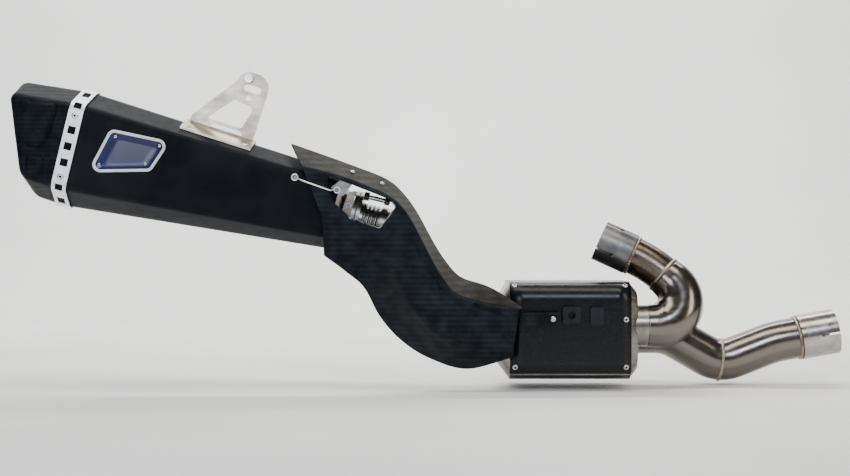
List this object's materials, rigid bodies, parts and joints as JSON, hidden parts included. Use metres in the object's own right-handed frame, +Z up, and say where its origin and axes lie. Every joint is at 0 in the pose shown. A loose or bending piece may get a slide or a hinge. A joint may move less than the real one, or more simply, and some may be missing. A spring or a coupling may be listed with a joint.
{
  "type": "motorcycle racing exhaust system",
  "caption": "Two-into-one motorcycle racing exhaust: slit clamp inlets, collector box, carbon heat shield, flexible bellows joint and a tapered hexagonal silencer on a hanger.",
  "frame": {"origin": "centre of the front inlet collar's mouth", "axes": "+X forward along the motorcycle, +Z up, -Y outwards to the side the badge is on"},
  "size_m": [0.9841, 0.147, 0.3713],
  "materials": {
    "carbon_fibre": "twill carbon fibre, satin lacquer",
    "black_coated_titanium": "satin black ceramic coating",
    "stainless_pipe": "bent stainless tube with heat tint",
    "dark_collar_steel": "heat-darkened turned steel",
    "bright_collar_steel": "satin turned steel",
    "stainless_sheet": "satin stainless sheet",
    "weld_bead": "stacked TIG weld bead",
    "polished_steel": "polished stainless strip",
    "titanium_plate": "bare titanium plate, warm tint",
    "zinc_fastener": "bright zinc-plated fastener",
    "black_outlet": "black-painted steel",
    "black_bracket": "satin black paint",
    "enamel_badge": "navy enamel with a white border",
    "glass_wool": "needled glass wool",
    "graphite_gasket": "pressed graphite",
    "heat_pad": "ceramic fibre pad"
  },
  "bodies": {
    "collector": {"front_inlet_collar": "bright_collar_steel", "front_inlet_rear_pipe": "stainless_pipe", "front_inlet_fore_pipe": "stainless_pipe", "front_weld_beads": "weld_bead", "upper_inlet_bend": "stainless_pipe", "upper_inlet_pipe": "stainless_pipe", "upper_inlet_collar": "dark_collar_steel", "upper_weld_beads": "weld_bead", "box_sleeve": "black_coated_titanium", "box_front_cap": "stainless_sheet", "box_rear_cap": "stainless_sheet", "box_baffle": "stainless_sheet", "box_perforated_tube": "stainless_sheet", "box_rivets": "zinc_fastener", "mounting_lug": "black_bracket", "stop_block": "black_bracket", "shield_tongue": "carbon_fibre", "tongue_screw": "zinc_fastener", "link_pipe": "stainless_sheet", "heat_shield": "carbon_fibre", "shield_screws": "zinc_fastener", "shield_spacer": "heat_pad"},
    "flex_bellows": {"bellows": "stainless_sheet"},
    "silencer": {"badge_plate": "enamel_badge", "badge_rivets": "zinc_fastener", "bellows_flange": "stainless_sheet", "ear_grommet": "zinc_fastener", "end_cap": "carbon_fibre", "flange_ear": "stainless_sheet", "flange_gasket": "graphite_gasket", "flange_nuts": "zinc_fastener", "flange_studs": "zinc_fastener", "glass_packing": "glass_wool", "hanger_bracket": "titanium_plate", "hanger_saddle": "titanium_plate", "hanger_screw": "zinc_fastener", "noise_insert": "black_outlet", "outlet_strap": "polished_steel", "outlet_tube": "black_outlet", "perforated_core": "stainless_sheet", "retaining_tab": "stainless_sheet", "retaining_wire": "polished_steel", "saddle_rivets": "zinc_fastener", "silencer_flange": "stainless_sheet", "silencer_inlet_cap": "stainless_sheet", "silencer_sleeve": "black_coated_titanium", "strap_rivets": "zinc_fastener", "tab_rivet": "zinc_fastener", "tie_nuts": "zinc_fastener", "tie_stud": "zinc_fastener", "wire_screw": "zinc_fastener"}
  },
  "joints": [
    {"name": "bellows_pitch", "type": "hinge", "parent": "collector", "child": "flex_bellows", "pos_m": [-0.56448, -0.06, 0.13076], "axis": [0, 1, 0], "range_deg": [-1.3, 1.3], "deforming": ["bellows"]},
    {"name": "bellows_yaw", "type": "hinge", "parent": "flex_bellows", "child": "silencer", "pos_m": [-0.56448, -0.06, 0.13076], "axis": [0.2334, 0, 0.9724], "range_deg": [-1.3, 1.3], "deforming": ["bellows"]}
  ]
}
